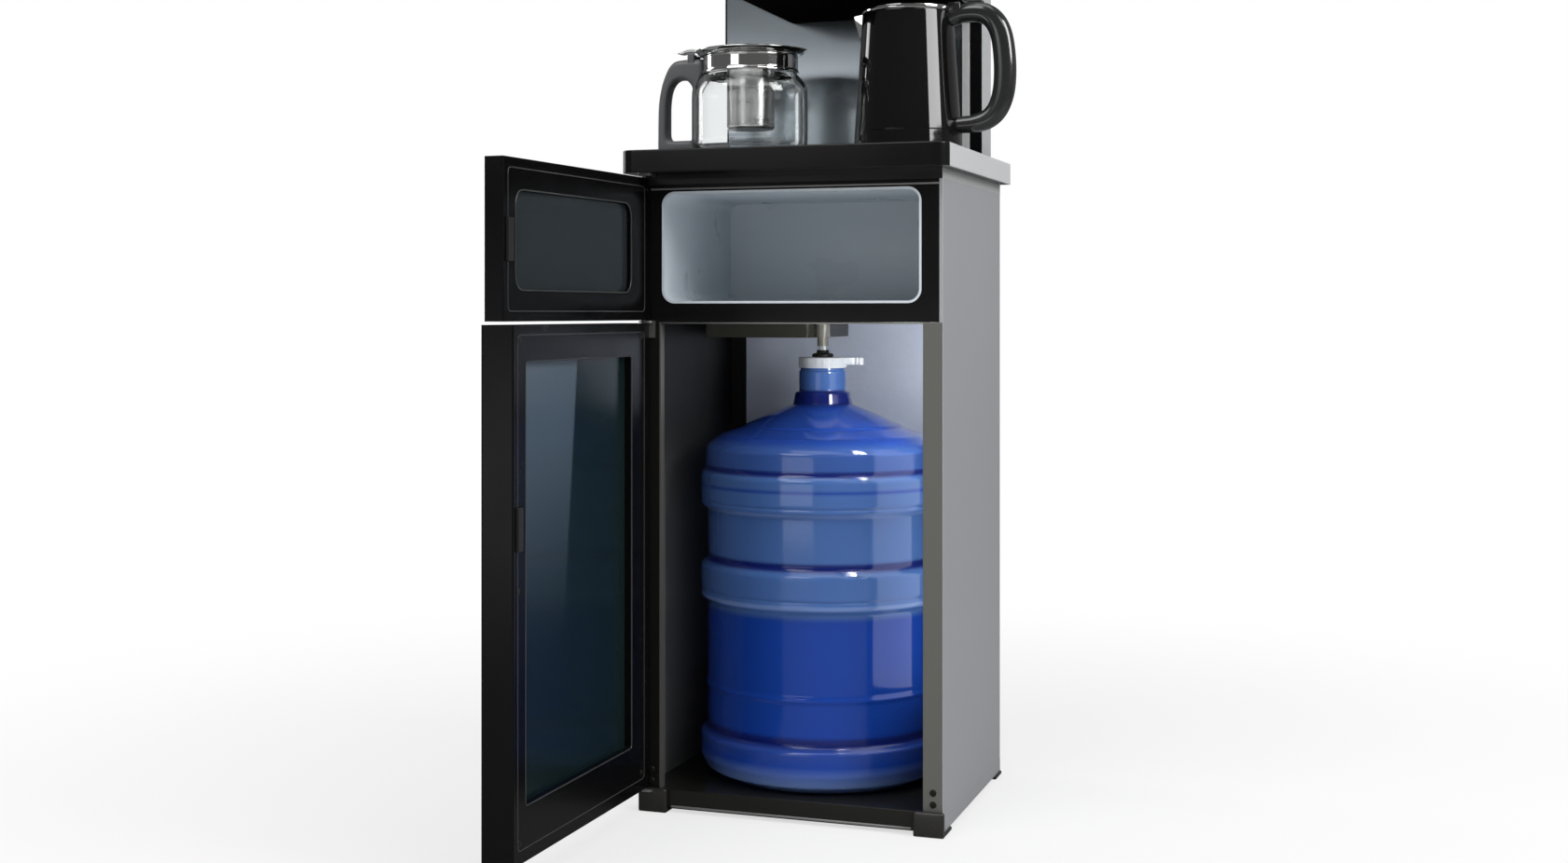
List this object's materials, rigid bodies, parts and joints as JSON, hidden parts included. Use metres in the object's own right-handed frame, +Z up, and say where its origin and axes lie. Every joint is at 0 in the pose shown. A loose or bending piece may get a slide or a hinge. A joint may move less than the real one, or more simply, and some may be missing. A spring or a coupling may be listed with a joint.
{
  "type": "bottom load water dispenser",
  "caption": "Free-standing bottom-load water dispenser: bottle bay and cup compartment behind hinged doors, a worktop with kettle and glass pot, and an overhanging control head.",
  "frame": {"origin": "on the floor, under the middle of the cabinet (half its width, half its depth)", "axes": "+Z up, +Y to the back, +X to the user's right; the doors open toward -Y"},
  "size_m": [0.4128, 0.6226, 1.01],
  "materials": {
    "grey_steel": "satin silver-grey paint on folded steel",
    "black_gloss": "high-gloss black moulding",
    "door_gloss": "black plate, polished",
    "black_plastic": "satin black moulding",
    "foot_plastic": "dull dark grey moulding",
    "light_plastic": "satin light blue-grey moulding",
    "smoked_glass": "smoked pane",
    "mirror_panel": "tinted mirror face",
    "trim_aluminium": "bright strip",
    "control_glass": "black glass-like plate",
    "plate_glass": "black ceramic glass",
    "button_plastic": "satin black caps",
    "zinc_steel": "zinc-plated sheet and turned parts",
    "foil_board": "creased foil",
    "board_green": "circuit board with its parts",
    "dark_parts": "dull black moulding",
    "hose_rubber": "soft translucent grey-green tube",
    "white_plastic": "white moulding",
    "magnet_rubber": "rubber-bound magnet strip",
    "bottle_blue": "translucent blue blown plastic",
    "kettle_black": "high-gloss black",
    "grip_plastic": "satin charcoal grip",
    "polished_steel": "mirror-polished steel",
    "plain_steel": "plain steel",
    "clear_glass": "clear blown glass"
  },
  "bodies": {
    "cabinet": {"side_panel_left": "grey_steel", "side_panel_right": "grey_steel", "compartment_frame": "black_gloss", "deck": "black_gloss", "tower_shell": "black_gloss", "head_shell": "black_gloss", "head_cover": "black_gloss", "base_tray": "black_plastic", "corner_feet": "foot_plastic", "hose_duct": "foot_plastic", "collar": "light_plastic", "compartment_liner": "light_plastic", "tower_panel": "mirror_panel", "tower_trim": "trim_aluminium", "control_panel": "control_glass", "warming_plate": "plate_glass", "back_panel": "zinc_steel", "bay_ceiling": "zinc_steel", "hinge_brackets": "zinc_steel", "hinge_pins": "zinc_steel", "cabinet_screws": "zinc_steel", "plate_heater": "zinc_steel", "bay_back_wall": "foil_board", "control_board": "board_green", "power_board": "board_green", "water_pump": "dark_parts", "mains_inlet": "dark_parts", "kettle_base": "dark_parts", "spout_nozzle": "dark_parts", "supply_hose": "hose_rubber", "water_pipes": "hose_rubber", "hose_fitting": "white_plastic"},
    "upper_door": {"upper_door_frame": "black_plastic", "upper_door_panel": "door_gloss", "upper_door_window": "smoked_glass", "upper_door_magnet": "magnet_rubber"},
    "lower_door": {"lower_door_frame": "black_plastic", "lower_door_panel": "door_gloss", "lower_door_window": "smoked_glass", "lower_door_magnet": "magnet_rubber", "lower_door_screws": "zinc_steel"},
    "bottle_unit": {"bottle": "bottle_blue", "bottle_cap": "white_plastic", "suction_tube": "white_plastic"},
    "kettle": {"kettle_shell": "kettle_black", "kettle_foot": "kettle_black", "kettle_vessel": "plain_steel", "kettle_rim": "polished_steel", "kettle_spout": "plain_steel", "kettle_handle": "grip_plastic"},
    "kettle_lid_unit": {"kettle_lid": "kettle_black"},
    "latch": {"lid_latch": "grip_plastic"},
    "pot": {"pot_glass": "clear_glass", "pot_collar": "polished_steel", "pot_handle": "grip_plastic"},
    "pot_lid_unit": {"pot_lid": "polished_steel", "pot_basket": "plain_steel"},
    "power_key": {"power_button": "button_plastic"},
    "boil_key": {"boil_button": "button_plastic"},
    "fill_key": {"fill_button": "button_plastic"}
  },
  "joints": [
    {"name": "upper_door_hinge", "type": "hinge", "parent": "cabinet", "child": "upper_door", "pos_m": [-0.1595, -0.1525, 0.6], "axis": [0, 0, -1], "range_deg": [-92.3, 17.7]},
    {"name": "lower_door_hinge", "type": "hinge", "parent": "cabinet", "child": "lower_door", "pos_m": [-0.1595, -0.1525, 0.27], "axis": [0, 0, -1], "range_deg": [-90.5, 19.5]},
    {"name": "bottle_slide", "type": "slide", "parent": "cabinet", "child": "bottle_unit", "axis": [0, -1, 0], "range_m": [0, 0.3]},
    {"name": "kettle_lift", "type": "slide", "parent": "cabinet", "child": "kettle", "axis": [0, 0, 1], "range_m": [0, 0.007]},
    {"name": "kettle_lid_hinge", "type": "hinge", "parent": "kettle", "child": "kettle_lid_unit", "pos_m": [0.153, -0.06, 0.8565], "axis": [0, 1, 0], "range_deg": [0, 4]},
    {"name": "latch_press", "type": "slide", "parent": "kettle", "child": "latch", "axis": [0, 0, -1], "range_m": [0, 0.0012], "stiffness_N_per_m": 400},
    {"name": "pot_lift", "type": "slide", "parent": "cabinet", "child": "pot", "axis": [0, 0, 1], "range_m": [0, 0.02]},
    {"name": "pot_lid_hinge", "type": "hinge", "parent": "pot", "child": "pot_lid_unit", "pos_m": [-0.135, -0.064, 0.813], "axis": [0, -1, 0], "range_deg": [0, 13]},
    {"name": "power_press", "type": "slide", "parent": "cabinet", "child": "power_key", "axis": [0, 1, 0], "range_m": [0, 0.0015], "stiffness_N_per_m": 400},
    {"name": "boil_press", "type": "slide", "parent": "cabinet", "child": "boil_key", "axis": [0, 1, 0], "range_m": [0, 0.0015], "stiffness_N_per_m": 400},
    {"name": "fill_press", "type": "slide", "parent": "cabinet", "child": "fill_key", "axis": [0, 1, 0], "range_m": [0, 0.0015], "stiffness_N_per_m": 400}
  ]
}
